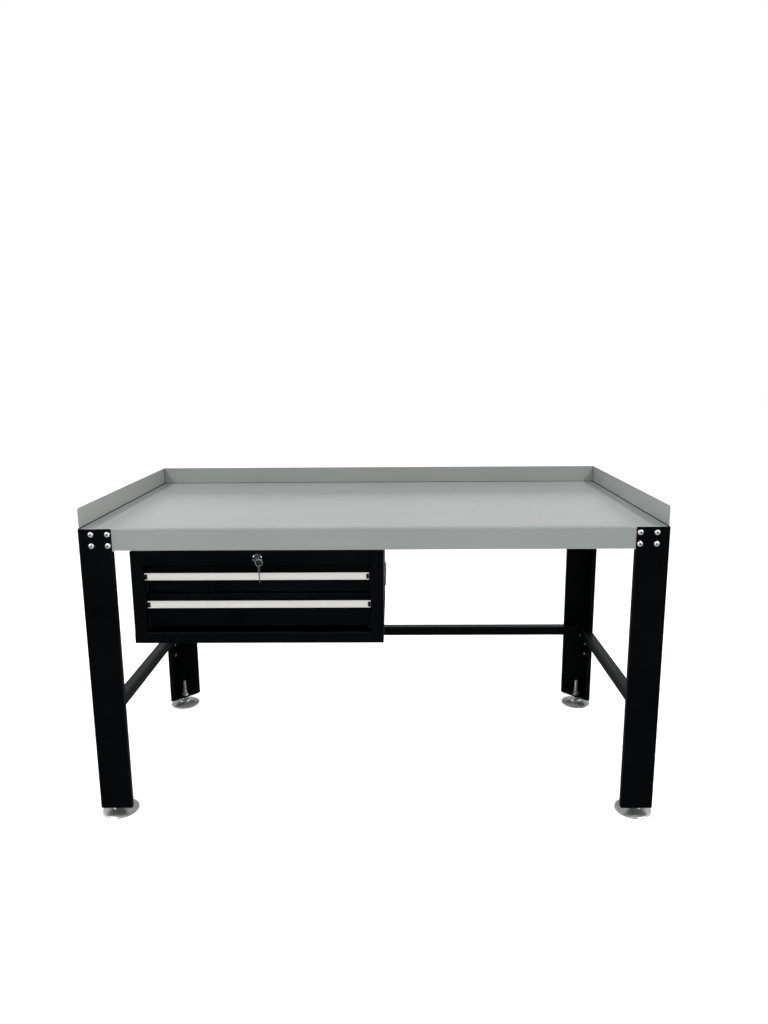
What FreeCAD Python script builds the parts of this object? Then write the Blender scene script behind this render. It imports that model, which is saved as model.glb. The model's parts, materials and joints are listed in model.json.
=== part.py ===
import FreeCAD, Part
import Sketcher
import math
import os

# Steel workbench with a rimmed tray top, four folded legs on levelling feet and a
# two-drawer unit hung under the left half of the top. Millimetres, +Z up, the origin
# on the floor under the middle of the bench, the front towards -Y.

V = FreeCAD.Vector
doc = FreeCAD.newDocument("bench")
sheet = doc.addObject("Spreadsheet::Sheet", "Dims")

DIMS = [
    ("bench_width", 1500.0, "outer faces of the legs, left to right"),
    ("bench_depth", 750.0, "outer faces of the legs, front to back"),
    ("leg_base", 28.0, "underside of the legs above the floor"),
    ("leg_top", 807.0, "top edge of the legs"),
    ("top_surface", 808.0, "upper face of the tray floor"),
    ("rim_height", 53.0, "rim above the tray floor"),
    ("tray_sheet", 2.0, "tray and panel sheet"),
    ("apron_bottom", 749.6, "lower edge of the front apron"),
    ("tray_bend", 1.5, "inner bend radius of the tray"),
    ("front_bend", 3.2, "inner bend radius of the tray's front edge"),
    ("tray_gap", 1.2, "gap between the tray and the side and rear panels"),
    ("tray_return", 15.0, "returned lips of the apron and panels"),
    ("rim_corner", 7.0, "rounded front corner of the side rims"),
    ("stiffener_bottom", 745.3, "underside of the stiffener channels"),
    ("stiffener_flange", 34.0, "flange of the stiffener channels"),
    ("stiffener_front", -352.0, "front end of the stiffener channels"),
    ("stiffener_rear", 343.5, "rear end of the stiffener channels"),
    ("stiffener_inner", 187.0, "inner stiffeners from the middle"),
    ("stiffener_outer", 560.0, "outer stiffeners from the middle"),
    ("leg_sheet", 3.0, "leg sheet"),
    ("leg_flange", 85.5, "width of each leg flange"),
    ("leg_lip", 15.0, "return lip of the leg flanges"),
    ("leg_bend", 1.8, "inner bend radius of the legs"),
    ("lip_start", 747.0, "top end of the leg lips"),
    ("base_sheet", 5.0, "triangular base plate"),
    ("screw_near", 33.5, "first screw column from the outer face"),
    ("screw_far", 75.5, "second screw column from the outer face"),
    ("screw_row_top", 793.2, "upper screw row"),
    ("screw_row_low", 763.4, "lower screw row"),
    ("screw_radius", 3.95, "screw shank"),
    ("screw_length", 16.0, "screw shank length"),
    ("screw_hole", 4.4, "clearance hole radius"),
    ("head_radius", 7.0, "button head radius"),
    ("head_height", 4.4, "button head height"),
    ("socket_radius", 2.9, "hexagon socket, across corners / 2"),
    ("nut_corner", 7.5, "nut, across corners / 2"),
    ("nut_height", 8.0, "flange nut height"),
    ("nut_flange", 8.0, "nut flange radius"),
    ("brace_top", 286.0, "upper face of the braces"),
    ("brace_web", 30.0, "brace web height"),
    ("brace_flange", 28.0, "brace flange width"),
    ("brace_sheet", 2.5, "brace sheet"),
    ("plate_sheet", 3.0, "brace end plates"),
    ("side_bolt", 337.0, "side brace screws from the middle, along Y"),
    ("side_bolt_top", 224.0, "side brace upper screw"),
    ("side_bolt_low", 186.5, "side brace lower screw"),
    ("rear_bolt", 720.0, "rear brace outer screws from the middle, along X"),
    ("rear_bolt_inner", 688.0, "rear brace inner screws from the middle, along X"),
    ("rear_bolt_height", 248.0, "rear brace screws above the floor"),
    ("foot_inset", 39.5, "foot axis from the outer faces of a leg"),
    ("disc_radius", 49.0, "foot disc radius"),
    ("stud_radius", 6.0, "foot stud radius"),
    ("stud_top", 87.0, "upper end of the foot studs"),
    ("foot_nut_bore", 6.06, "foot nut bore radius"),
    ("foot_nut_corner", 10.4, "foot nut, across corners / 2"),
    ("foot_nut_height", 9.5, "foot nut height"),
    ("unit_middle", -299.5, "middle of the drawer unit along X"),
    ("unit_half", 325.5, "half the width of the drawer unit"),
    ("unit_front", -365.0, "front face of the drawer unit"),
    ("unit_back", 25.2, "rear face of the drawer unit"),
    ("unit_bottom", 498.0, "underside of the drawer unit"),
    ("unit_top", 745.3, "upper face of the drawer unit"),
    ("unit_sheet", 1.2, "drawer unit sheet"),
    ("unit_bend", 1.0, "inner bend radius of the drawer unit"),
    ("opening_half", 293.5, "half the width of the drawer opening"),
    ("opening_top", 709.3, "top of the drawer opening"),
    ("opening_bottom", 526.8, "bottom of the drawer opening"),
    ("frame_return", 12.0, "depth of the returns round the opening"),
    ("upright_half", 294.2, "inner faces of the slide uprights from the unit's middle"),
    ("front_face", -341.0, "front face of the drawer fronts"),
    ("front_half", 289.5, "half the width of the drawer fronts"),
    ("box_half", 281.5, "half the width of the drawer boxes"),
    ("box_back", 15.0, "rear face of the drawer boxes"),
    ("upper_front_top", 703.5, "top of the upper drawer front"),
    ("upper_front_bottom", 631.2, "bottom of the upper drawer front"),
    ("upper_box_top", 696.0, "top of the upper box sides"),
    ("upper_box_bottom", 640.0, "underside of the upper box"),
    ("upper_back_top", 690.0, "top of the upper box back"),
    ("upper_handle", 668.0, "underside of the upper handle"),
    ("upper_handle_shift", -1.2, "middle of the upper handle from the unit's middle"),
    ("upper_slide", 649.0, "middle of the upper slides"),
    ("lower_front_top", 627.0, "top of the lower drawer front"),
    ("lower_front_bottom", 535.0, "bottom of the lower drawer front"),
    ("lower_box_top", 612.0, "top of the lower box sides"),
    ("lower_box_bottom", 541.0, "underside of the lower box"),
    ("lower_back_top", 606.0, "top of the lower box back"),
    ("lower_handle", 593.0, "underside of the lower handle"),
    ("lower_handle_shift", 2.2, "middle of the lower handle from the unit's middle"),
    ("lower_slide", 549.0, "middle of the lower slides"),
    ("handle_front", -362.0, "front face of the handles"),
    ("handle_height", 19.6, "handle height"),
    ("handle_sheet", 2.4, "handle wall"),
    ("handle_half", 289.5, "half the handle length"),
    ("groove_depth", 1.3, "label groove in the handle"),
    ("clip_length", 6.8, "end clips in the label groove"),
    ("groove_height", 13.8, "height of the label groove"),
    ("slide_length", 350.0, "slide length"),
    ("slide_front", -339.3, "front end of the slides"),
    ("lock_middle", -296.0, "lock axis along X"),
    ("lock_level", 727.0, "lock axis height"),
    ("barrel_radius", 9.3, "lock barrel"),
    ("bezel_radius", 12.8, "lock bezel"),
    ("plug_radius", 6.0, "lock plug"),
    ("plug_bore", 6.06, "bore for the plug"),
    ("rod_radius", 3.0, "lock rod"),
    ("crank", 9.0, "crank throw"),
    ("crank_pin", 2.0, "crank pin radius"),
    ("key_sheet", 1.8, "key thickness"),
    ("key_ring_radius", 9.0, "split ring mean radius"),
    ("ring_wire", 0.65, "split ring wire radius"),
    ("grip_middle", -170.0, "middle of the side handles along Y"),
    ("grip_half", 46.0, "half the length of a side handle's bail"),
    ("grip_pivot", 645.0, "side handle pivot height"),
    ("grip_drop", 34.0, "side handle drop"),
    ("grip_rod", 1.9, "side handle rod radius"),
    ("grip_stand", 3.6, "pivot from the unit's side"),
]
for i, (name, value, note) in enumerate(DIMS):
    row = i + 1
    sheet.set("A%d" % row, name)
    sheet.set("B%d" % row, "%g" % value)
    sheet.set("C%d" % row, note)
    sheet.setAlias("B%d" % row, name)
doc.recompute()


class Q:
    """A size read from the sheet: its value and the expression that binds it."""

    def __init__(self, text, value):
        self.text, self.value = text, float(value)

    def __add__(self, o):
        o = q(o)
        return Q("(%s + %s)" % (self.text, o.text), self.value + o.value)

    __radd__ = __add__

    def __sub__(self, o):
        o = q(o)
        return Q("(%s - %s)" % (self.text, o.text), self.value - o.value)

    def __rsub__(self, o):
        return q(o) - self

    def __mul__(self, o):
        o = q(o)
        return Q("(%s * %s)" % (self.text, o.text), self.value * o.value)

    __rmul__ = __mul__

    def __truediv__(self, o):
        o = q(o)
        return Q("(%s / %s)" % (self.text, o.text), self.value / o.value)

    def __neg__(self):
        return Q("(0 - %s)" % self.text, -self.value)


def q(x):
    return x if isinstance(x, Q) else Q("(%.6f)" % float(x), x)


def num(x):
    return x.value if isinstance(x, Q) else float(x)


class Table:
    def __getattr__(self, name):
        return Q("Dims.%s" % name, float(sheet.get(name)))


D = Table()
NODES = []
VOLUME_CHECKS = []


def bind(obj, prop, x):
    obj.setExpression(prop, q(x).text)


def node(obj, label):
    obj.Label = label
    NODES.append((label, obj))
    return obj


def plane(body, role):
    for o in body.Origin.OriginFeatures:
        if o.Role == role:
            return o
    raise RuntimeError(role)


def place3(role, a, b, c):
    a, b, c = num(a), num(b), num(c)
    if role == "XY_Plane":
        return V(a, b, c)
    if role == "XZ_Plane":
        return V(a, c, b)
    return V(c, a, b)


def new_sketch(body, role, name, centre=None):
    sk = body.newObject("Sketcher::SketchObject", name)
    sk.AttachmentSupport = [(plane(body, role), "")]
    sk.MapMode = "FlatFace"
    if centre is not None:
        off = -q(centre) if role == "XZ_Plane" else q(centre)
        bind(sk, "AttachmentOffset.Base.z", off)
    return sk


def polygon(sk, pts):
    base = len(sk.Geometry)
    n = len(pts)
    for i in range(n):
        a, b = pts[i], pts[(i + 1) % n]
        sk.addGeometry(Part.LineSegment(V(num(a[0]), num(a[1]), 0), V(num(b[0]), num(b[1]), 0)), False)
    for i in range(n):
        sk.addConstraint(Sketcher.Constraint("Coincident", base + i, 2, base + (i + 1) % n, 1))
    for i in range(n):
        for kind, k in (("DistanceX", 0), ("DistanceY", 1)):
            c = sk.addConstraint(Sketcher.Constraint(kind, -1, 1, base + i, 1, num(pts[i][k])))
            if isinstance(pts[i][k], Q):
                bind(sk, "Constraints[%d]" % c, pts[i][k])


def circles(sk, centres, radius):
    for a, b in centres:
        g = sk.addGeometry(Part.Circle(V(num(a), num(b), 0), V(0, 0, 1), num(radius)), False)
        for kind, x in (("DistanceX", a), ("DistanceY", b)):
            c = sk.addConstraint(Sketcher.Constraint(kind, -1, 1, g, 3, num(x)))
            if isinstance(x, Q):
                bind(sk, "Constraints[%d]" % c, x)
        c = sk.addConstraint(Sketcher.Constraint("Radius", g, num(radius)))
        if isinstance(radius, Q):
            bind(sk, "Constraints[%d]" % c, radius)


def prism(name, role, pts, length, centre=0.0, body=None):
    """A pad of the polygon, centred on the given distance along the plane's normal."""
    b = body or doc.addObject("PartDesign::Body", name)
    sk = new_sketch(b, role, name + "_profile", centre)
    polygon(sk, pts)
    pad = b.newObject("PartDesign::Pad", name + "_pad")
    pad.Profile = sk
    pad.SideType = "Symmetric"
    bind(pad, "Length", length)
    doc.recompute()
    return b


def round_edges(body, points, radius, name="round"):
    """Fillet the edges of the body's tip that pass through the given points."""
    base = body.Tip
    shape = base.Shape
    names = []
    for p in points:
        best, which = 0.02, None
        for i, e in enumerate(shape.Edges):
            d = e.distToShape(Part.Vertex(p))[0]
            if d < best:
                best, which = d, "Edge%d" % (i + 1)
        if which is None:
            raise RuntimeError("no edge at %s in %s" % (p, body.Name))
        if which not in names:
            names.append(which)
    f = body.newObject("PartDesign::Fillet", "%s_%s" % (body.Name, name))
    f.Base = (base, names)
    bind(f, "Radius", radius)
    doc.recompute()
    return f


def sheet_prism(name, role, path, thick, side, bend, length, centre=0.0, wide=None):
    """Folded sheet: the path is one face of it, the thickness lies to the left (1) or right (-1).
    wide is the index of one bend with its own inner radius."""
    n = len(path)
    dirs = []
    for i in range(n - 1):
        dx, dy = num(path[i + 1][0]) - num(path[i][0]), num(path[i + 1][1]) - num(path[i][1])
        m = math.hypot(dx, dy)
        dirs.append((round(dx / m), round(dy / m)))
    offset = []
    outer_pts, inner_pts = [], []
    wide_at, wide_bend = wide or (None, None)
    wide_outer = wide_inner = None
    for i in range(n):
        ns = []
        if i > 0:
            ns.append((-dirs[i - 1][1] * side, dirs[i - 1][0] * side))
        if i < n - 1:
            ns.append((-dirs[i][1] * side, dirs[i][0] * side))
        sx, sy = sum(k[0] for k in ns), sum(k[1] for k in ns)
        x = path[i][0] + thick * sx if sx else path[i][0]
        y = path[i][1] + thick * sy if sy else path[i][1]
        offset.append((x, y))
        if 0 < i < n - 1:
            turn = dirs[i - 1][0] * dirs[i][1] - dirs[i - 1][1] * dirs[i][0]
            out, inn = (path[i], (x, y)) if turn * side > 0 else ((x, y), path[i])
            if i == wide_at:
                wide_outer, wide_inner = out, inn
            else:
                outer_pts.append(out)
                inner_pts.append(inn)
    b = prism(name, role, list(path) + offset[::-1], length, centre)
    round_edges(b, [place3(role, p[0], p[1], centre) for p in inner_pts], bend, "inner")
    round_edges(b, [place3(role, p[0], p[1], centre) for p in outer_pts], bend + thick, "outer")
    if wide_outer:
        round_edges(b, [place3(role, wide_inner[0], wide_inner[1], centre)], wide_bend, "wide_inner")
        round_edges(b, [place3(role, wide_outer[0], wide_outer[1], centre)], wide_bend + thick, "wide_outer")
    return b


def cut_box(body, x0, x1, y0, y1, z0, z1, name="notch", add=False):
    f = body.newObject("PartDesign::%sBox" % ("Additive" if add else "Subtractive"), "%s_%s" % (body.Name, name))
    bind(f, "Length", q(x1) - x0)
    bind(f, "Width", q(y1) - y0)
    bind(f, "Height", q(z1) - z0)
    bind(f, "Placement.Base.x", x0)
    bind(f, "Placement.Base.y", y0)
    bind(f, "Placement.Base.z", z0)
    doc.recompute()
    return f


def add_box(body, x0, x1, y0, y1, z0, z1, name="plate"):
    return cut_box(body, x0, x1, y0, y1, z0, z1, name, True)


def drill(body, role, centres, radius, name="holes"):
    before = body.Shape.Volume
    sk = new_sketch(body, role, "%s_%s_sketch" % (body.Name, name))
    circles(sk, centres, radius)
    p = body.newObject("PartDesign::Pocket", "%s_%s" % (body.Name, name))
    p.Profile = sk
    p.Type = "ThroughAll"
    p.SideType = "Symmetric"
    doc.recompute()
    VOLUME_CHECKS.append((p.Name, before, body.Shape.Volume))
    return p


def revolve(name, profile, body=None):
    """A body turned about +Z from a profile in (radius, height)."""
    b = body or doc.addObject("PartDesign::Body", name)
    sk = new_sketch(b, "XZ_Plane", name + "_profile")
    polygon(sk, profile)
    r = b.newObject("PartDesign::Revolution", name + "_turn")
    r.Profile = sk
    r.ReferenceAxis = (sk, ["V_Axis"])
    r.Angle = 360.0
    doc.recompute()
    return b


def mirror_x(pts, sx):
    return [(p[0] * sx, p[1]) for p in pts]


def box(name, x0, x1, y0, y1, z0, z1):
    b = doc.addObject("Part::Box", name)
    bind(b, "Length", q(x1) - x0)
    bind(b, "Width", q(y1) - y0)
    bind(b, "Height", q(z1) - z0)
    bind(b, "Placement.Base.x", x0)
    bind(b, "Placement.Base.y", y0)
    bind(b, "Placement.Base.z", z0)
    return b


def cylinder(name, radius, height, x=0.0, y=0.0, z=0.0, axis=None):
    c = doc.addObject("Part::Cylinder", name)
    bind(c, "Radius", radius)
    bind(c, "Height", height)
    if axis is not None:
        c.Placement = FreeCAD.Placement(V(0, 0, 0), FreeCAD.Rotation(V(0, 0, 1), axis))
    bind(c, "Placement.Base.x", x)
    bind(c, "Placement.Base.y", y)
    bind(c, "Placement.Base.z", z)
    return c


def fuse(name, parts, refine=True):
    f = doc.addObject("Part::MultiFuse", name)
    f.Shapes = parts
    f.Refine = refine
    return f


def cut(name, base, tool):
    c = doc.addObject("Part::Cut", name)
    c.Base, c.Tool = base, tool
    return c


def group(label, master, places):
    """Identical pieces as one node: separate solids at the given placements."""
    doc.recompute()
    f = doc.addObject("Part::Feature", label)
    shapes = []
    for p in places:
        s = master.Shape.copy()
        s.Placement = p.multiply(s.Placement)
        shapes.append(s)
    f.Shape = Part.makeCompound(shapes)
    f.Placement = FreeCAD.Placement()
    return node(f, label)


def facing(x, y, z, direction, spin=0.0):
    r = FreeCAD.Rotation(V(0, 0, 1), direction)
    return FreeCAD.Placement(V(num(x), num(y), num(z)), r.multiply(FreeCAD.Rotation(V(0, 0, 1), spin)))


HX, HY = D.bench_width / 2, D.bench_depth / 2
LS, TS = D.leg_sheet, D.tray_sheet
PX, PY = HX - LS, HY - LS          # outer faces of the tray, inside the leg flanges

# ---------------------------------------------------------------- worktop
# One sheet: front apron with its return lip, and the floor. It stands a little clear of the panels round it.
TG = D.tray_gap
tray = sheet_prism("tray", "YZ_Plane",
                   [(-PY + D.tray_return, D.apron_bottom),
                    (-PY, D.apron_bottom),
                    (-PY, D.top_surface),
                    (PY - TS - TG, D.top_surface)],
                   TS, -1, D.tray_bend, (PX - TS - TG) * 2, wide=(2, D.front_bend))
screw_cols = [D.screw_near, D.screw_far]
screw_rows = [D.screw_row_top, D.screw_row_low]
front_holes = [((HX - c) * s, r) for s in (-1, 1) for c in screw_cols for r in screw_rows]
side_holes = [((HY - c) * s, r) for s in (-1, 1) for c in screw_cols for r in screw_rows]
drill(tray, "XZ_Plane", front_holes, D.screw_hole)
node(tray, "worktop_tray")

for label, s in (("left_side_panel", -1), ("right_side_panel", 1)):
    # Side panel: apron and rim in one height, with a return lip along its lower edge.
    top = D.top_surface + D.rim_height
    b = sheet_prism(label, "XZ_Plane",
                    [(PX * s, top), (PX * s, D.apron_bottom), ((PX - D.tray_return) * s, D.apron_bottom)],
                    TS, -s, D.tray_bend, PY * 2)
    xm = num(PX - TS / 2) * s
    round_edges(b, [V(xm, -num(PY), num(top))], D.rim_corner, "corner")
    drill(b, "YZ_Plane", side_holes, D.screw_hole)
    zmid = num(D.apron_bottom) + 40
    round_edges(b, [V(num(PX) * s, -num(PY), zmid), V(num(PX) * s, num(PY), zmid)], 1.9, "ends")
    # the return lip stops short of the apron's and the skirt's own lips
    for k, t in enumerate((-1, 1)):
        xa, xb = (PX - D.tray_return - 1) * s, (PX - TS) * s
        ya, yb = (PY + 1) * t, (PY - D.tray_return - 1) * t
        if s < 0:
            xa, xb = xb, xa
        if t > 0:
            ya, yb = yb, ya
        cut_box(b, xa, xb, ya, yb, D.apron_bottom - 1, D.apron_bottom + TS + D.tray_bend + 0.5, "end_%d" % k)
    node(b, label)

# Rear panel: apron and rim in one height like the side panels, with a ledge welded on for the tray's rear edge.
back = sheet_prism("rear_panel", "YZ_Plane",
                   [(PY, D.top_surface + D.rim_height), (PY, D.apron_bottom),
                    (PY - D.tray_return, D.apron_bottom)],
                   TS, -1, D.tray_bend, (PX - TS) * 2 - TG)
lw = PX - TS - TG / 2
add_box(back, -lw, lw, PY - 28, PY - TS / 2, D.top_surface - TS * 2, D.top_surface - TS, "ledge")
drill(back, "XZ_Plane", front_holes, D.screw_hole)
node(back, "rear_panel")

chans = []
for i, (xc, s) in enumerate(((-D.stiffener_outer, -1), (-D.stiffener_inner, -1),
                             (D.stiffener_inner, 1), (D.stiffener_outer, 1))):
    zt = D.top_surface - TS
    c = sheet_prism("stiffener_%d" % (i + 1), "XZ_Plane",
                    [(xc + D.stiffener_flange / 2, zt), (xc - D.stiffener_flange / 2, zt),
                     (xc - D.stiffener_flange / 2, D.stiffener_bottom),
                     (xc + D.stiffener_flange / 2, D.stiffener_bottom)],
                    TS, 1, D.tray_bend, D.stiffener_rear - D.stiffener_front,
                    (D.stiffener_rear + D.stiffener_front) / 2)
    chans.append(c)
for c in chans[:2]:
    xc = -D.stiffener_outer if c is chans[0] else -D.stiffener_inner
    drill(c, "XY_Plane", [(xc + 4, -250.0), (xc + 4, -60.0)], 3.3)
comp = doc.addObject("Part::Compound", "stiffeners")
comp.Links = chans
node(comp, "worktop_stiffeners")

# ---------------------------------------------------------------- legs
for label, sx, sy in (("front_left_leg", -1, -1), ("front_right_leg", 1, -1),
                      ("rear_left_leg", -1, 1), ("rear_right_leg", 1, 1)):
    def P(u, w, sx=sx, sy=sy):
        return ((HX - u) * sx, (HY - w) * sy)
    F, L = D.leg_flange, D.leg_lip
    path = [P(F, L), P(F, 0.0), P(0.0, 0.0), P(0.0, F), P(L, F)]
    side = 1 if sx * sy < 0 else -1
    height = D.leg_top - D.leg_base
    mid = (D.leg_top + D.leg_base) / 2
    b = sheet_prism(label, "XY_Plane", path, LS, side, D.leg_bend, height, mid)

    def span(u0, u1, w0, w1, z0, z1, name, b=b, sx=sx, sy=sy):
        xa, xb = (HX - u0) * sx, (HX - u1) * sx
        ya, yb = (HY - w0) * sy, (HY - w1) * sy
        if num(xa) > num(xb):
            xa, xb = xb, xa
        if num(ya) > num(yb):
            ya, yb = yb, ya
        cut_box(b, xa, xb, ya, yb, z0, z1, name)
    # the lips stop under the apron and are open where the braces pass
    span(LS, L + 5, F - LS - 5, F + 1, D.lip_start, D.leg_top + 1, "lip_a")
    span(F - LS - 5, F + 1, LS, L + 5, D.lip_start, D.leg_top + 1, "lip_b")
    span(LS, L + 5, F - LS - 3, F + 1, D.brace_top - D.brace_web - 4, D.brace_top + 4, "pass_a")
    if sy > 0:
        span(F - LS - 3, F + 1, LS, L + 5, D.brace_top - D.brace_web - 4, D.brace_top + 4, "pass_b")
    # screw holes
    drill(b, "XZ_Plane", [((HX - c) * sx, r) for c in screw_cols for r in screw_rows], D.screw_hole, "front_holes")
    drill(b, "YZ_Plane", [((HY - c) * sy, r) for c in screw_cols for r in screw_rows], D.screw_hole, "side_holes")
    drill(b, "YZ_Plane", [(D.side_bolt * sy, D.side_bolt_top), (D.side_bolt * sy, D.side_bolt_low)],
          D.screw_hole, "brace_holes")
    if sy > 0:
        drill(b, "XZ_Plane", [(D.rear_bolt * sx, D.rear_bolt_height), (D.rear_bolt_inner * sx, D.rear_bolt_height)],
              D.screw_hole, "rear_holes")
    # rounded lower corners of the lips and top corners of the flanges
    zb, zt = num(D.leg_base), num(D.leg_top)
    lipa = V(num(HX - L) * sx, num(HY - F + LS / 2) * sy, zb)
    lipb = V(num(HX - F + LS / 2) * sx, num(HY - L) * sy, zb)
    round_edges(b, [lipa, lipb], 8.0, "lip_corner")
    node(b, label)

plates = []
for i, (sx, sy) in enumerate(((-1, -1), (1, -1), (-1, 1), (1, 1))):
    def P(u, w, sx=sx, sy=sy):
        return ((HX - u) * sx, (HY - w) * sy)
    a, f = LS, D.leg_flange - LS
    e = D.leg_bend
    pts = [P(a + e, a), P(f - e, a), P(f, a + e), P(f, D.leg_lip), P(D.leg_lip, f), P(a + e, f),
           P(a, f - e), P(a, a + e)]
    b = prism("base_plate_%d" % (i + 1), "XY_Plane", pts, D.base_sheet, D.leg_base + D.base_sheet / 2)
    drill(b, "XY_Plane", [P(D.foot_inset, D.foot_inset)], D.stud_radius + 0.5)
    plates.append(b)
comp = doc.addObject("Part::Compound", "base_plates")
comp.Links = plates
node(comp, "leg_base_plates")

# ---------------------------------------------------------------- braces
BS = D.brace_sheet
for label, s in (("left_side_brace", -1), ("right_side_brace", 1)):
    # Angle section from leg to leg, with an end plate against each side flange.
    outer = PX * s
    web = (PX - D.brace_flange) * s
    b = sheet_prism(label, "XZ_Plane",
                    [(outer, D.brace_top), (web, D.brace_top), (web, D.brace_top - D.brace_web)],
                    BS, s, D.leg_bend, (PY - 8) * 2)
    xa, xb = (PX - D.plate_sheet) * s, PX * s
    if s < 0:
        xa, xb = xb, xa
    for k, (ya, yb) in enumerate(((D.side_bolt - 24, D.side_bolt + 24), (-D.side_bolt - 24, -D.side_bolt + 24))):
        add_box(b, xa, xb, ya, yb, D.side_bolt_low - 20, D.brace_top - BS, "end_plate_%d" % k)
        # between the legs' lips and the plates the flange is full width; beyond them it stops
    drill(b, "YZ_Plane", [(D.side_bolt * t, z) for t in (-1, 1) for z in (D.side_bolt_top, D.side_bolt_low)],
          D.screw_hole)
    xm = num(PX - D.plate_sheet / 2) * s
    zl = num(D.side_bolt_low) - 20
    pts = []
    for t in (-1, 1):
        for e in (-24, 24):
            pts.append(V(xm, (num(D.side_bolt) + e) * t, zl))
    round_edges(b, pts, 8.0, "plate_corner")
    node(b, label)

rear_end = PX - D.brace_flange - 2.0     # both ends stop short of the side braces
rear_web = PY - D.brace_flange
rear = sheet_prism("rear_brace", "YZ_Plane",
                   [(PY, D.brace_top), (rear_web, D.brace_top), (rear_web, D.brace_top - D.brace_web)],
                   BS, 1, D.leg_bend, rear_end * 2)
for k, s in enumerate((-1, 1)):
    xa, xb = (D.rear_bolt_inner - 16) * s, (D.rear_bolt + 21) * s
    if s < 0:
        xa, xb = xb, xa
    add_box(rear, xa, xb, PY - D.plate_sheet, PY, D.rear_bolt_height - 20, D.brace_top - BS, "end_plate_%d" % k)
drill(rear, "XZ_Plane", [(x * s, D.rear_bolt_height) for s in (-1, 1) for x in (D.rear_bolt, D.rear_bolt_inner)],
      D.screw_hole)
for k, s in enumerate((-1, 1)):
    # deeper web inside each rear leg
    xa, xb = (rear_end - 50) * s, rear_end * s
    if s < 0:
        xa, xb = xb, xa
    add_box(rear, xa, xb, rear_web, rear_web + BS, D.brace_top - D.brace_web - 13, D.brace_top - D.brace_web + 5,
            "deep_web_%d" % k)
ym = num(rear_web + BS / 2)
zl = num(D.brace_top - D.brace_web) - 13
pts = [V((num(rear_end) - e) * s, ym, zl) for s in (-1, 1) for e in (0, 50)]
round_edges(rear, pts, 9.0, "web_corner")
ym = num(PY - D.plate_sheet / 2)
zl = num(D.rear_bolt_height) - 20
pts = [V(x * s, ym, zl) for s in (-1, 1) for x in (num(D.rear_bolt_inner) - 16, num(D.rear_bolt) + 21)]
round_edges(rear, pts, 8.0, "plate_corner")
node(rear, "rear_brace")

# ---------------------------------------------------------------- screws and nuts of the frame
head_sphere = (D.head_radius * D.head_radius + D.head_height * D.head_height) / (D.head_height * 2)
dome = doc.addObject("Part::Sphere", "screw_dome")
bind(dome, "Radius", head_sphere)
bind(dome, "Placement.Base.z", D.head_height - head_sphere)
slab = cylinder("screw_slab", D.head_radius - 0.15, D.head_height)
head = doc.addObject("Part::Common", "screw_head")
head.Base, head.Tool = dome, slab
shank = cylinder("screw_shank", D.screw_radius, D.screw_length + 0.5, 0, 0, -D.screw_length)
blank = fuse("screw_blank", [head, shank])
socket = doc.addObject("Part::Prism", "screw_socket")
socket.Polygon = 6
bind(socket, "Circumradius", D.socket_radius)
bind(socket, "Height", 4.0)
bind(socket, "Placement.Base.z", D.head_height - 2.6)
screw = cut("screw_master", blank, socket)

hexagon = doc.addObject("Part::Prism", "nut_hexagon")
hexagon.Polygon = 6
bind(hexagon, "Circumradius", D.nut_corner)
bind(hexagon, "Height", D.nut_height)
bind(hexagon, "Placement.Base.z", -D.nut_height)
top_cone = doc.addObject("Part::Cone", "nut_taper")
bind(top_cone, "Radius1", D.nut_corner - 1.2)
bind(top_cone, "Radius2", D.nut_corner + 7.0)
bind(top_cone, "Height", D.nut_height)
bind(top_cone, "Placement.Base.z", -D.nut_height)
nut_body = doc.addObject("Part::Common", "nut_body")
nut_body.Base, nut_body.Tool = hexagon, top_cone
flange = cylinder("nut_flange", D.nut_flange, 1.4, 0, 0, -1.4)
nut_blank = fuse("nut_blank", [nut_body, flange])
nut_bore = cylinder("nut_bore", D.screw_radius + 0.02, D.nut_height + 2, 0, 0, -D.nut_height - 1)
nut = cut("nut_master", nut_blank, nut_bore)
doc.recompute()

screw_places, nut_places = [], []


def fasten(x, y, z, direction, grip, spin):
    screw_places.append(facing(x, y, z, direction, spin))
    p = V(num(x), num(y), num(z)) - direction * num(grip)
    nut_places.append(facing(p.x, p.y, p.z, direction, spin + 11))


k = 0
for sx in (-1, 1):
    for sy in (-1, 1):
        for c in screw_cols:
            for r in screw_rows:
                k += 1
                fasten((HX - c) * sx, HY * sy, r, V(0, sy, 0), LS + TS, 37 * k)
                fasten(HX * sx, (HY - c) * sy, r, V(sx, 0, 0), LS + TS, 53 * k + 20)
        for z in (D.side_bolt_top, D.side_bolt_low):
            k += 1
            fasten(HX * sx, D.side_bolt * sy, z, V(sx, 0, 0), LS + D.plate_sheet, 31 * k)
    for x in (D.rear_bolt, D.rear_bolt_inner):
        k += 1
        fasten(x * sx, HY, D.rear_bolt_height, V(0, 1, 0), LS + D.plate_sheet, 43 * k)
group("frame_screws", screw, screw_places)
group("frame_nuts", nut, nut_places)

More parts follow.
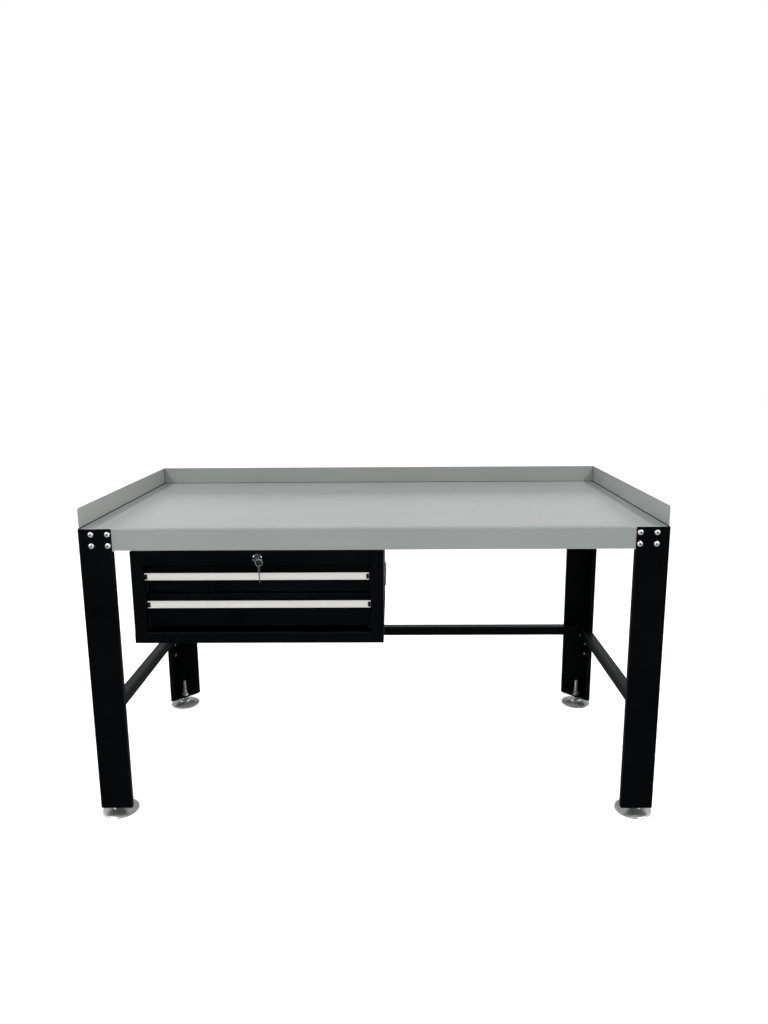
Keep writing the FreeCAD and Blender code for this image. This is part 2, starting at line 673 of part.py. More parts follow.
# ---------------------------------------------------------------- levelling feet
FX, FY = HX - D.foot_inset, HY - D.foot_inset
R = D.disc_radius
FOOT = (("front_left", -1, -1), ("front_right", 1, -1), ("rear_left", -1, 1), ("rear_right", 1, 1))
for name, sx, sy in FOOT:
    disc = revolve(name + "_foot_disc",
                   [(0.0, 2.0), (R - 5, 2.0), (R - 4, 0.0), (R - 1.2, 0.0), (R, 1.2), (R, 3.0), (R - 2.5, 4.4),
                    (R * 0.62, 6.6), (R * 0.40, 9.2), (R * 0.31, 12.6), (R * 0.285, 15.4), (R * 0.25, 16.0),
                    (7.65, 16.0), (7.65, 6.0), (0.0, 6.0)])
    bind(disc, "Placement.Base.x", FX * sx)
    bind(disc, "Placement.Base.y", FY * sy)
    node(disc, name + "_foot_disc")
    stud = revolve(name + "_foot_stud",
                   [(0.0, 6.1), (6.3, 6.1), (7.3, 7.1), (7.3, 13.0), (D.stud_radius, 14.4),
                    (D.stud_radius, D.stud_top - 1.3), (D.stud_radius - 1.3, D.stud_top), (0.0, D.stud_top)])
    bind(stud, "Placement.Base.x", FX * sx)
    bind(stud, "Placement.Base.y", FY * sy)
    node(stud, name + "_foot_stud")

fh = doc.addObject("Part::Prism", "foot_hexagon")
fh.Polygon = 6
bind(fh, "Circumradius", D.foot_nut_corner)
bind(fh, "Height", D.foot_nut_height)
fc = doc.addObject("Part::Cone", "foot_taper")
bind(fc, "Radius1", D.foot_nut_corner + 12.0)
bind(fc, "Radius2", D.foot_nut_corner - 1.3)
bind(fc, "Height", D.foot_nut_height)
fn = doc.addObject("Part::Common", "foot_nut_body")
fn.Base, fn.Tool = fh, fc
fb = cylinder("foot_nut_hole", D.foot_nut_bore, D.foot_nut_height + 2, 0, 0, -1.0)
foot_nut = cut("foot_nut_master", fn, fb)
wo = cylinder("washer_disc", 12.0, 2.4)
wi = cylinder("washer_hole", D.stud_radius + 0.4, 4.0, 0, 0, -1.0)
washer = cut("washer_master", wo, wi)
zp = D.leg_base + D.base_sheet
group("foot_washers", washer, [facing(FX * sx, FY * sy, zp, V(0, 0, 1)) for n_, sx, sy in FOOT])
places = []
for j, (n_, sx, sy) in enumerate(FOOT):
    places.append(facing(FX * sx, FY * sy, zp + 2.4, V(0, 0, 1), 14 + 23 * j))
    places.append(facing(FX * sx, FY * sy, D.leg_base, V(0, 0, -1), 5 + 17 * j))
group("foot_nuts", foot_nut, places)

# ---------------------------------------------------------------- drawer unit
UM, UH, US = D.unit_middle, D.unit_half, D.unit_sheet
UF, UB = D.unit_front, D.unit_back
OH = D.opening_half
for label, s in (("unit_left_side", -1), ("unit_right_side", 1)):
    # Side wall folded round into the front post and its return.
    path = [(UM + OH * s, UF + 15), (UM + OH * s, UF), (UM + UH * s, UF), (UM + UH * s, UB)]
    zb, zt = D.opening_bottom + 0.05, D.unit_top - US
    b = sheet_prism(label, "XY_Plane", path, US, 1 if s > 0 else -1, D.unit_bend, zt - zb, (zt + zb) / 2)
    if s < 0:
        drill(b, "YZ_Plane", [(D.grip_middle - 30, D.grip_pivot + 9)], 0.8, "pilot")
    node(b, label)

pan = sheet_prism("unit_bottom_pan", "YZ_Plane",
                  [(UF + D.frame_return, D.opening_bottom), (UF, D.opening_bottom), (UF, D.unit_bottom),
                   (UB, D.unit_bottom), (UB, D.opening_bottom)],
                  US, 1, D.unit_bend, UH * 2, UM)
for k, s in enumerate((-1, 1)):
    xa, xb = UM + UH * s, UM + (UH - US) * s
    if s > 0:
        xa, xb = xb, xa
    add_box(pan, xa, xb, UF + US, UB - US / 2, D.unit_bottom + 1, D.opening_bottom, "end_%d" % k)
node(pan, "unit_bottom_pan")

topp = sheet_prism("unit_top_panel", "YZ_Plane",
                   [(UF + D.frame_return, D.opening_top), (UF, D.opening_top), (UF, D.unit_top), (UB, D.unit_top)],
                   US, -1, D.unit_bend, UH * 2, UM)
for k, s in enumerate((-1, 1)):
    xa, xb = UM + (UH + 1) * s, UM + (OH - 0.05) * s
    if s > 0:
        xa, xb = xb, xa
    cut_box(topp, xa, xb, UF - 1, UF + D.frame_return + 1, D.opening_top - 1, D.unit_top - US, "post_%d" % k)
drill(topp, "XZ_Plane", [(D.lock_middle, D.lock_level)], D.barrel_radius + 0.1, "lock_hole")
drill(topp, "XY_Plane", [(-D.stiffener_outer + 4, -250.0), (-D.stiffener_outer + 4, -60.0),
                         (-D.stiffener_inner + 4, -250.0), (-D.stiffener_inner + 4, -60.0)], 3.3, "hang_holes")
node(topp, "unit_top_panel")

bx0 = D.lock_middle + 7.5
back = prism("unit_back_panel", "XZ_Plane",
             [(UM - UH + US + 0.05, D.opening_bottom + 0.05), (UM + UH - US - 0.05, D.opening_bottom + 0.05),
              (UM + UH - US - 0.05, D.unit_top - US), (UM - UH + US + 0.05, D.unit_top - US)],
             US, UB - US / 2)
for k, z0 in enumerate((640.0, 668.0)):
    # guide strap of the lock bar
    add_box(back, bx0 - 13, bx0 + 13, UB - US - 5.8, UB - US - 4.6, z0, z0 + 8, "strap_%d" % k)
    for j, e in enumerate((-13.0, 11.6)):
        add_box(back, bx0 + e, bx0 + e + 1.4, UB - US - 5.8, UB - US + 0.2, z0, z0 + 8, "foot_%d%d" % (k, j))
node(back, "unit_back_panel")

ups = []
for i, (s, yc) in enumerate(((-1, -331.0), (1, -331.0), (-1, -12.0), (1, -12.0))):
    wall = UM + (UH - US) * s
    face = UM + D.upright_half * s
    path = [(wall, q(yc - 14)), (face, q(yc - 14)), (face, q(yc + 14)), (wall, q(yc + 14))]
    zb, zt = D.unit_bottom + US, D.unit_top - US
    ups.append(sheet_prism("upright_%d" % (i + 1), "XY_Plane", path, US * 1.25, -s, D.unit_bend, zt - zb,
                           (zt + zb) / 2))
comp = doc.addObject("Part::Compound", "uprights")
comp.Links = ups
node(comp, "slide_uprights")

# hanging screws from inside the unit into the stiffener flanges
hs_head = cylinder("hang_head", 5.6, 3.4, 0, 0, 0)
hs_shank = cylinder("hang_shank", 2.95, 12.5, 0, 0, -12.0)
hs_blank = fuse("hang_blank", [hs_head, hs_shank])
hs_sock = doc.addObject("Part::Prism", "hang_socket")
hs_sock.Polygon = 6
bind(hs_sock, "Circumradius", 2.3)
bind(hs_sock, "Height", 3.0)
bind(hs_sock, "Placement.Base.z", 1.3)
hang_screw = cut("hang_master", hs_blank, hs_sock)
hn = doc.addObject("Part::Prism", "hang_hexagon")
hn.Polygon = 6
bind(hn, "Circumradius", 5.77)
bind(hn, "Height", 5.0)
hb = cylinder("hang_bore", 2.97, 7.0, 0, 0, -1.0)
hang_nut = cut("hang_nut_master", hn, hb)
spots = [(xc + 4, y) for xc in (-D.stiffener_outer, -D.stiffener_inner) for y in (-250.0, -60.0)]
group("unit_hanging_screws", hang_screw, [facing(x, y, D.unit_top - US, V(0, 0, -1), 25) for x, y in spots])
group("unit_hanging_nuts", hang_nut, [facing(x, y, D.stiffener_bottom + TS, V(0, 0, 1), 12) for x, y in spots])


# ---------------------------------------------------------------- slides
def slide_section(kind):
    """Half sections in (distance from the upright, height about the slide's middle)."""
    if kind == "outer":
        return [(0, -18), (10, -18), (10, -13), (8.8, -13), (8.8, -16.8), (1.2, -16.8),
                (1.2, 16.8), (8.8, 16.8), (8.8, 13), (10, 13), (10, 18), (0, 18)]
    if kind == "middle":
        return [(1.6, -16.4), (8.4, -16.4), (8.4, -11), (7.2, -11), (7.2, -15.2), (2.8, -15.2),
                (2.8, 15.2), (7.2, 15.2), (7.2, 11), (8.4, 11), (8.4, 16.4), (1.6, 16.4)]
    return [(5.6, -14.8), (6.8, -14.8), (6.8, -10.0), (12.7, -10.0), (12.7, 10.0), (6.8, 10.0), (6.8, 14.8),
            (5.6, 14.8), (5.6, 8.8), (11.5, 8.8), (11.5, -8.8), (5.6, -8.8)]


def slide_member(name, kind, s, level):
    pts = [(UM + (D.upright_half - u) * s, level + v) for u, v in slide_section(kind)]
    ya = D.front_face + D.unit_sheet + 0.1 if kind == "inner" else D.slide_front
    yb = D.slide_front + D.slide_length
    return prism(name, "XZ_Plane", pts, yb - ya, (ya + yb) / 2)


outers = [slide_member("outer_%d" % i, "outer", s, lv)
          for i, (s, lv) in enumerate(((-1, D.upper_slide), (1, D.upper_slide), (-1, D.lower_slide), (1, D.lower_slide)))]
comp = doc.addObject("Part::Compound", "outer_members")
comp.Links = outers
node(comp, "slide_outer_members")

# ---------------------------------------------------------------- drawers
for w, tag in (("upper", "upper_drawer"), ("lower", "lower_drawer")):
    def d(n, w=w):
        return getattr(D, "%s_%s" % (w, n))
    BH = D.box_half
    yb = D.box_back
    y0 = D.front_face + US
    # Box: floor and sides folded from one sheet, hemmed inwards at the top, with a back.
    bx = sheet_prism(tag + "_box", "XZ_Plane",
                     [(UM - BH + 8, d("box_top")), (UM - BH, d("box_top")), (UM - BH, d("box_bottom")),
                      (UM + BH, d("box_bottom")), (UM + BH, d("box_top")), (UM + BH - 8, d("box_top"))],
                     US, 1, D.unit_bend, yb - y0, (yb + y0) / 2)
    add_box(bx, UM - BH + US / 2, UM + BH - US / 2, yb - US, yb, d("box_bottom") + US / 2, d("back_top"), "back")
    node(bx, tag + "_box")
    fr = sheet_prism(tag + "_front", "YZ_Plane",
                     [(D.front_face + 13, d("front_top")), (D.front_face, d("front_top")),
                      (D.front_face, d("front_bottom")), (D.front_face + 13, d("front_bottom"))],
                     US, 1, D.unit_bend + 1, D.front_half * 2, UM)
    for k, s in enumerate((-1, 1)):
        # the returns are notched where the slides stand behind the front
        xa, xb = UM + (BH - 0.6) * s, UM + (D.front_half + 1) * s
        if s < 0:
            xa, xb = xb, xa
        cut_box(fr, xa, xb, D.front_face + US, D.front_face + 14, d("front_bottom") - 1, d("front_top") + 1,
                "notch_%d" % k)
    node(fr, tag + "_front")
    hb_, ht_ = d("handle"), d("handle") + D.handle_height
    HM = UM + d("handle_shift")
    hd = sheet_prism(tag + "_handle", "YZ_Plane",
                     [(D.front_face, hb_ + 12), (D.front_face, hb_), (D.handle_front, hb_), (D.handle_front, ht_)],
                     D.handle_sheet, -1, 1.0, D.handle_half * 2, HM)
    gz = hb_ + (D.handle_height - D.groove_height) / 2
    cut_box(hd, HM - D.handle_half - 1, HM + D.handle_half + 1, D.handle_front - 1, D.handle_front + D.groove_depth,
            gz, gz + D.groove_height, "groove")
    node(hd, tag + "_handle")
    st = box(tag + "_strip_blank", HM - D.handle_half + D.clip_length + 0.2, HM + D.handle_half - D.clip_length - 0.2,
             D.handle_front + 0.35, D.handle_front + D.groove_depth, gz + 0.2, gz + D.groove_height - 0.2)
    node(st, tag + "_label_strip")
    clips = []
    for k, s in enumerate((-1, 1)):
        xa, xb = HM + (D.handle_half - D.clip_length) * s, HM + (D.handle_half - 0.2) * s
        if s < 0:
            xa, xb = xb, xa
        c0 = box("%s_clip_%d" % (tag, k), xa, xb, D.handle_front + 0.15, D.handle_front + D.groove_depth,
                 gz + 0.2, gz + D.groove_height - 0.2)
        slot = box("%s_clip_slot_%d" % (tag, k), xa + 2.4, xb - 2.4, D.handle_front - 0.5, D.handle_front + 0.75,
                   gz + 3.6, gz + D.groove_height - 3.6)
        clips.append(cut("%s_clip_cut_%d" % (tag, k), c0, slot))
    comp = doc.addObject("Part::Compound", tag + "_clips")
    comp.Links = clips
    node(comp, tag + "_end_clips")
    for kind in ("middle", "inner"):
        pair = [slide_member("%s_%s_%d" % (tag, kind, k), kind, s, d("slide")) for k, s in enumerate((-1, 1))]
        comp = doc.addObject("Part::Compound", "%s_%s_members" % (tag, kind))
        comp.Links = pair
        node(comp, "%s_slide_%s_members" % (tag, kind))

# ---------------------------------------------------------------- lock
LM, LL = D.lock_middle, D.lock_level
face_y = UF


def turned_y(label, profile):
    """Turned about the lock axis: the profile is (radius, distance in front of the rail)."""
    b = revolve(label, profile)
    b.Placement = FreeCAD.Placement(V(0, 0, 0), FreeCAD.Rotation(V(1, 0, 0), 90))
    bind(b, "Placement.Base.x", LM)
    bind(b, "Placement.Base.y", face_y)
    bind(b, "Placement.Base.z", LL)
    doc.recompute()
    return b


barrel = turned_y("lock_barrel",
                  [(D.plug_bore, -26.0), (D.barrel_radius, -26.0), (D.barrel_radius, 0.0), (D.bezel_radius, 0.0),
                   (D.bezel_radius, 1.2), (D.bezel_radius - 0.6, 2.7), (D.bezel_radius - 2.0, 3.9),
                   (D.bezel_radius - 4.0, 4.6), (D.plug_bore + 0.4, 4.8), (D.plug_bore, 4.4)])
node(barrel, "lock_barrel")
ln_hex = doc.addObject("Part::Prism", "lock_nut_hexagon")
ln_hex.Polygon = 6
bind(ln_hex, "Circumradius", 13.6)
bind(ln_hex, "Height", 3.5)
ln_bore = cylinder("lock_nut_bore", D.barrel_radius + 0.02, 6.0, 0, 0, -1.0)
ln = cut("lock_nut_cut", ln_hex, ln_bore)
doc.recompute()
group("lock_nut", ln, [facing(LM, UF + US, LL, V(0, 1, 0), 30)])

# Plug with a keyway, closed at its rear end.
plug_round = cylinder("plug_round", D.plug_radius, 32.2, LM, face_y + 28, LL, V(0, -1, 0))
keyway = box("plug_keyway", LM - 3.4, LM + 3.4, face_y - 8, face_y + 24, LL - D.key_sheet / 2 - 0.25,
             LL + D.key_sheet / 2 + 0.25)
plug = cut("plug_cut", plug_round, keyway)
node(plug, "lock_plug")

# Rod along the top of the unit, with a crank and pin at its rear end.
rod_end = UB - US - 5.6
rod_bar = cylinder("rod_bar", D.rod_radius, rod_end - (face_y + 28), LM, face_y + 28, LL, V(0, 1, 0))
arm = box("rod_arm", q(-3.2), D.crank + 3.0, q(0), q(2.2), q(-3.2), q(3.2))
arm.Placement = FreeCAD.Placement(V(0, 0, 0), FreeCAD.Rotation(V(0, 1, 0), -45)).multiply(
    FreeCAD.Placement(V(-3.2, 0, -3.2), FreeCAD.Rotation()))
arm.setExpression("Placement.Base.x", None)
arm.setExpression("Placement.Base.y", None)
arm.setExpression("Placement.Base.z", None)
doc.recompute()
c45 = math.cos(math.radians(45))
arm.Placement = FreeCAD.Placement(V(num(LM), num(rod_end) - 2.2, num(LL)), FreeCAD.Rotation(V(0, 1, 0), -45)).multiply(
    FreeCAD.Placement(V(-3.2, 0, -3.2), FreeCAD.Rotation()))
pin = cylinder("rod_pin", D.crank_pin, 5.0, LM + D.crank * c45, rod_end - 0.5, LL + D.crank * c45, V(0, 1, 0))
rod = fuse("rod_fuse", [rod_bar, arm, pin])
node(rod, "lock_rod")

# Lock bar: a flat bar behind the drawers with a hook over each drawer's back.
LIFT = 12.7
yb0 = UB - US - 4.2
strip = box("bar_strip", bx0 - 10, bx0 + 10, yb0, yb0 + 2, q(600.0), q(741.5))
zp0 = LL + D.crank * c45
slot = box("bar_slot", LM + D.crank * c45 - 2.6, LM + D.crank + 2.6, yb0 - 2, yb0 + 4, zp0 - 2.7, zp0 + 2.7)
bar0 = cut("bar_slotted", strip, slot)
hooks = []
for k, top in enumerate((D.upper_box_top, D.lower_box_top)):
    zt0 = top + LIFT + 0.8
    hooks.append(box("hook_arm_%d" % k, bx0 - 6, bx0 + 6, D.box_back - 8.0, yb0 + 1, zt0, zt0 + 2))
    hooks.append(box("hook_lip_%d" % k, bx0 - 6, bx0 + 6, D.box_back - 8.0, D.box_back - 6.0, zt0 - LIFT, zt0 + 1))
bar = fuse("bar_fuse", [bar0] + hooks)
node(bar, "lock_bar")


# Keys: a blade and a round-cornered bow with a hole, lying flat in their own XY plane,
# the blade towards +Y and the hole at the origin.
def key_blank(name, half, top, low, hole, collar_end, tip_end, blade_half, bits):
    T = D.key_sheet
    z0 = -T / 2
    bow = box(name + "_bow", -half, half, -top, low, z0, T / 2)
    bow_round = doc.addObject("Part::Fillet", name + "_bow_round")
    bow_round.Base = bow
    doc.recompute()
    r = num(half) * 0.5
    bow_round.Edges = [(i + 1, r, r) for i, e in enumerate(bow.Shape.Edges)
                       if abs(e.Vertexes[0].Z - e.Vertexes[-1].Z) > 1]
    collar = box(name + "_collar", -blade_half - 1.2, blade_half + 1.2, low - 0.5, collar_end, z0, T / 2)
    blade = box(name + "_blade", -blade_half, blade_half, collar_end - 0.2, tip_end, z0, T / 2)
    body = fuse(name + "_body", [bow_round, collar, blade])
    cuts = [cylinder(name + "_hole", hole, q(6.0), 0, 0, -3.0)]
    for j, (yy, dep) in enumerate(bits):
        cuts.append(box("%s_bit_%d" % (name, j), blade_half - dep, blade_half + 1, q(yy), q(yy + 1.7), q(-2), q(2)))
    for j, t in enumerate((-1, 1)):
        # pointed tip
        tip = box("%s_tip_%d" % (name, j), q(0), q(8), q(0), q(8), q(-2), q(2))
        for axis in "xyz":
            tip.setExpression("Placement.Base." + axis, None)
        tip.Placement = FreeCAD.Placement(V(0.7 * t, num(tip_end), -2), FreeCAD.Rotation(V(0, 0, 1), -45 if t > 0 else 135))
        cuts.append(tip)
    cuts.append(box(name + "_groove", q(-1.3), q(0.4), collar_end + 0.4, tip_end + 1, T / 2 - 0.45, T / 2 + 1))
    return cut(name + "_blank", body, fuse(name + "_cuts", cuts, False))


key_a = key_blank("key", q(10.0), q(6.0), q(11.0), q(3.5), q(13.2), q(36.0), q(3.0),
                  ((17.0, 0.9), (20.5, 1.5), (24.0, 0.7), (27.5, 1.3), (31.0, 1.0)))
doc.recompute()
hole_y = UF - 4.9 - 13.4           # the collar stands just clear of the bezel
f = doc.addObject("Part::Feature", "cabinet_key_shape")
f.Shape = key_a.Shape.copy()
f.Placement = FreeCAD.Placement(V(num(LM), num(hole_y), num(LL)), FreeCAD.Rotation())
node(f, "cabinet_key")

# Split ring through the bow's hole, in the plane across the key.
ring_c = math.cos(math.radians(46))
ring_s = math.sin(math.radians(46))
ring = doc.addObject("Part::Torus", "ring_torus")
bind(ring, "Radius1", D.key_ring_radius)
bind(ring, "Radius2", D.ring_wire)
ring.Placement = FreeCAD.Placement(V(0, 0, 0), FreeCAD.Rotation(V(1, 0, 0), 90))
bind(ring, "Placement.Base.x", LM + D.key_ring_radius * ring_c)
bind(ring, "Placement.Base.y", hole_y)
bind(ring, "Placement.Base.z", LL - D.key_ring_radius * ring_s)
node(ring, "key_ring")

# ---------------------------------------------------------------- side handles
lugs = []
for s, label in ((-1, "left_side_handle"), (1, "right_side_handle")):
    wall = UM + UH * s
    px = wall + D.grip_stand * s
    gm, gh, gp, gr = D.grip_middle, D.grip_half, D.grip_pivot, D.grip_rod
    for k, t in enumerate((-1, 1)):
        yc = gm + (gh - 1) * t
        xa, xb = wall, wall + 1.2 * s
        if s < 0:
            xa, xb = xb, xa
        base = box("lug_base_%s_%d" % (label, k), xa, xb, yc - 9, yc + 9, gp - 8, gp + 15)
        xa, xb = wall, wall + (D.grip_stand + 2.3) * s
        if s < 0:
            xa, xb = xb, xa
        ear_y = yc + 8.2 * t
        ya, yb_ = (ear_y, ear_y + 2.2) if t > 0 else (ear_y - 2.2, ear_y)
        ear = box("lug_ear_%s_%d" % (label, k), xa, xb, ya - 3 * (1 if t > 0 else 0), yb_ + 3 * (1 if t < 0 else 0),
                  gp - 4.0, gp + 4.0)
        hole = cylinder("lug_hole_%s_%d" % (label, k), gr * 0.6 + 0.06, 20.0, px, ear_y - 10, gp, V(0, 1, 0))
        rivet = cylinder("lug_rivet_%s_%d" % (label, k), 2.6, 2.4, wall, yc, gp + 10,
                         V(s, 0, 0))
        lugs.append(cut("lug_%s_%d" % (label, k), fuse("lug_blank_%s_%d" % (label, k), [base, ear, rivet]), hole))
    # bail: grip bar, two arms and two pivot pins
    grip = cylinder("bail_bar_" + label, gr, (gh - 2) * 2, px, gm - gh + 2, gp - D.grip_drop, V(0, 1, 0))
    parts = [grip]
    for k, t in enumerate((-1, 1)):
        yc = gm + (gh - 2) * t
        parts.append(cylinder("bail_arm_%s_%d" % (label, k), gr, D.grip_drop, px, yc, gp - D.grip_drop))
        sp = doc.addObject("Part::Sphere", "bail_elbow_%s_%d" % (label, k))
        bind(sp, "Radius", gr)
        bind(sp, "Placement.Base.x", px)
        bind(sp, "Placement.Base.y", yc)
        bind(sp, "Placement.Base.z", gp - D.grip_drop)
        parts.append(sp)
        sq = doc.addObject("Part::Sphere", "bail_shoulder_%s_%d" % (label, k))
        bind(sq, "Radius", gr)
        bind(sq, "Placement.Base.x", px)
        bind(sq, "Placement.Base.y", yc)
        bind(sq, "Placement.Base.z", gp)
        parts.append(sq)
        y_from = yc if t > 0 else yc - 12.0
        parts.append(cylinder("bail_pin_%s_%d" % (label, k), gr * 0.6, q(12.0), px, y_from, gp, V(0, 1, 0)))
    node(fuse("bail_" + label, parts), label)
comp = doc.addObject("Part::Compound", "handle_lugs")
comp.Links = lugs
node(comp, "side_handle_brackets")

# ---------------------------------------------------------------- checks and output
doc.recompute()
bad = []
for o in doc.Objects:
    if "Invalid" in o.State or "Error" in o.State:
        bad.append("%s %s" % (o.Name, o.State))
for name_, before, after in VOLUME_CHECKS:
    if not after < before - 1e-6:
        bad.append("%s cuts nothing" % name_)
labels = [n for n, o in NODES]
if len(set(labels)) != len(labels):
    bad.append("two nodes share a name")
if len(labels) > 60:
    bad.append("more than 60 nodes")
for label, o in NODES:
    shp = o.Shape
    if shp.isNull() or not shp.isValid() or not shp.Solids:
        bad.append("%s has no valid solid" % label)
if bad:
    raise RuntimeError("; ".join(bad))
os.makedirs("parts", exist_ok=True)
total = 0
for label, o in NODES:
    shp = o.Shape
    total += len(shp.Solids)
    shp.exportStep(os.path.join("parts", label + ".step"))
    bb = shp.BoundBox
    print("%-34s solids %3d  volume %10.0f  X %8.1f %8.1f  Y %8.1f %8.1f  Z %7.1f %7.1f" % (
        label, len(shp.Solids), shp.Volume, bb.XMin, bb.XMax, bb.YMin, bb.YMax, bb.ZMin, bb.ZMax))
print("nodes", len(labels), "solids", total)
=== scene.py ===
import bpy, bmesh, json, math
from mathutils import Vector, Matrix


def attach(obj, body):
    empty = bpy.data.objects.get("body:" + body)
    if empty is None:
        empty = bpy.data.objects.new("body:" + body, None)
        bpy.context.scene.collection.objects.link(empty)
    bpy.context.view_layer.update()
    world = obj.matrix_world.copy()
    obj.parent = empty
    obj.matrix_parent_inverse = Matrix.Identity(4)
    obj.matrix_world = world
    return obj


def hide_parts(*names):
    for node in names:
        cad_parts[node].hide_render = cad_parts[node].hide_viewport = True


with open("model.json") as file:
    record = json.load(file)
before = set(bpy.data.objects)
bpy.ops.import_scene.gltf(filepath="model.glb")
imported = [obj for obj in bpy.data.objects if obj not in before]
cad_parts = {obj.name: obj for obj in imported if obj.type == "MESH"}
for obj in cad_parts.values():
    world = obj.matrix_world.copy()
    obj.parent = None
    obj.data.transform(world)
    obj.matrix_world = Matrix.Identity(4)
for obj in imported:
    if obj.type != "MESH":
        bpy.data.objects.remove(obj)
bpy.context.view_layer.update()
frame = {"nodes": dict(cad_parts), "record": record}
NODES = frame["nodes"]


# ------------------------------------------------------------------ camera
def make_camera():
    cam_data = bpy.data.cameras.new("Camera")
    cam = bpy.data.objects.new("Camera", cam_data)
    bpy.context.scene.collection.objects.link(cam)
    right = Vector((0.99991176, 0.01127067, -0.00703101)).normalized()
    up = Vector((0.00472526, 0.1928938, 0.98120826)).normalized()
    look = Vector((-0.01241511, 0.98115491, -0.19282352)).normalized()
    m = Matrix((
        (right.x, up.x, -look.x, 0.052718),
        (right.y, up.y, -look.y, -2.242991),
        (right.z, up.z, -look.z, 1.215584),
        (0, 0, 0, 1)))
    cam.matrix_world = m
    cam_data.sensor_width = 36.0
    cam_data.lens = 26.654
    cam_data.clip_start = 0.05
    cam_data.clip_end = 60
    cam_data.dof.use_dof = False
    bpy.context.scene.camera = cam
    return cam


camera = make_camera()


# ------------------------------------------------------------------ node helpers
class Tree:
    """Short calls for building a material's node tree."""

    def __init__(self, name):
        self.mat = bpy.data.materials.new(name)
        self.mat.use_nodes = True
        self.t = self.mat.node_tree
        self.t.nodes.clear()
        self.out = self.t.nodes.new("ShaderNodeOutputMaterial")
        self.coord = self.t.nodes.new("ShaderNodeTexCoord")

    def node(self, kind, **inputs):
        n = self.t.nodes.new(kind)
        for k, v in inputs.items():
            if k.startswith("_"):
                setattr(n, k[1:], v)
        for k, v in inputs.items():
            if not k.startswith("_"):
                name = k.replace("__", " ")
                self.put(n.inputs[name], v)
        return n

    def put(self, socket, v):
        if isinstance(v, bpy.types.NodeSocket):
            self.t.links.new(v, socket)
        elif isinstance(v, bpy.types.Node):
            self.t.links.new(v.outputs[0], socket)
        else:
            socket.default_value = v

    def at(self, sx=1.0, sy=1.0, sz=1.0, rot=(0, 0, 0), loc=(0, 0, 0)):
        m = self.t.nodes.new("ShaderNodeMapping")
        m.inputs["Scale"].default_value = (sx, sy, sz)
        m.inputs["Rotation"].default_value = rot
        m.inputs["Location"].default_value = loc
        self.t.links.new(self.coord.outputs["Object"], m.inputs["Vector"])
        return m.outputs[0]

    def noise(self, vec, scale, detail=3.0, rough=0.5, distortion=0.0, out="Fac"):
        n = self.t.nodes.new("ShaderNodeTexNoise")
        self.t.links.new(vec, n.inputs["Vector"])
        n.inputs["Scale"].default_value = scale
        n.inputs["Detail"].default_value = detail
        n.inputs["Roughness"].default_value = rough
        n.inputs["Distortion"].default_value = distortion
        return n.outputs[out]

    def ramp(self, fac, stops, interp="LINEAR"):
        r = self.t.nodes.new("ShaderNodeValToRGB")
        r.color_ramp.interpolation = interp
        els = r.color_ramp.elements
        while len(els) > 1:
            els.remove(els[-1])
        els[0].position = stops[0][0]
        c = stops[0][1]
        els[0].color = (c, c, c, 1) if isinstance(c, (int, float)) else (*c, 1)
        for pos, c in stops[1:]:
            e = els.new(pos)
            e.color = (c, c, c, 1) if isinstance(c, (int, float)) else (*c, 1)
        self.t.links.new(fac, r.inputs[0])
        return r.outputs[0]

    def math(self, op, a, b=None, clamp=False):
        n = self.t.nodes.new("ShaderNodeMath")
        n.operation = op
        n.use_clamp = clamp
        self.put(n.inputs[0], a)
        if b is not None:
            self.put(n.inputs[1], b)
        return n.outputs[0]

    def mix(self, fac, a, b, blend="MIX"):
        n = self.t.nodes.new("ShaderNodeMix")
        n.data_type = "RGBA"
        n.blend_type = blend
        self.put(n.inputs[0], fac)
        self.put(n.inputs[6], a)
        self.put(n.inputs[7], b)
        return n.outputs[2]

    def bump(self, height, strength, distance, normal=None):
        n = self.t.nodes.new("ShaderNodeBump")
        n.inputs["Strength"].default_value = strength
        n.inputs["Distance"].default_value = distance
        self.put(n.inputs["Height"], height)
        if normal is not None:
            self.put(n.inputs["Normal"], normal)
        return n.outputs[0]

    def shader(self, color, rough, normal=None, metallic=0.0, specular=0.5, **extra):
        b = self.t.nodes.new("ShaderNodeBsdfPrincipled")
        self.put(b.inputs["Base Color"], color)
        self.put(b.inputs["Roughness"], rough)
        b.inputs["Metallic"].default_value = metallic
        b.inputs["Specular IOR Level"].default_value = specular
        for k, v in extra.items():
            b.inputs[k.replace("_", " ")].default_value = v
        if normal is not None:
            self.put(b.inputs["Normal"], normal)
        self.t.links.new(b.outputs[0], self.out.inputs["Surface"])
        return b


def seam_shade_and_grime(t, v):
    """Painted shade, with some grime, in the joints between tray and panels and along the tray's rear: 1 on clean
    paint, less in a joint.
    """
    sep = t.node("ShaderNodeSeparateXYZ", Vector=v)
    x = t.math("ABSOLUTE", sep.outputs[0])
    y, z = sep.outputs[1], sep.outputs[2]

    def near(a, a0, b, b0, inner, outer, floor):
        d = t.math("SQRT", t.math("ADD", t.math("POWER", t.math("SUBTRACT", a, a0), 2.0),
                                  t.math("POWER", t.math("SUBTRACT", b, b0), 2.0)))
        return t.ramp(t.math("MULTIPLY", d, 100.0), [(inner * 100, floor), (outer * 100, 1.0)])

    # painted shade with some grime: dark lines along the side joints, the rear fold and the back corners, where the
    # grooves fall into shade
    side = near(x, 0.7446, z, 0.8080, 0.0014, 0.0031, 0.13)
    rear = near(y, 0.3696, z, 0.8080, 0.0011, 0.0026, 0.45)
    corner = near(x, 0.7449, y, 0.3700, 0.0012, 0.0034, 0.40)
    # painted shade along the rear of the tray, darkest by the rear rim, standing in for the rim's contact shadow
    rear_rim_shade = t.ramp(t.math("ADD", y, 0.5), [(0.700, 1.0), (0.868, 0.87), (0.870, 1.0)])
    both = t.mix(1.0, side, rear, "MULTIPLY")
    both = t.mix(1.0, both, rear_rim_shade, "MULTIPLY")
    return t.mix(1.0, both, corner, "MULTIPLY")


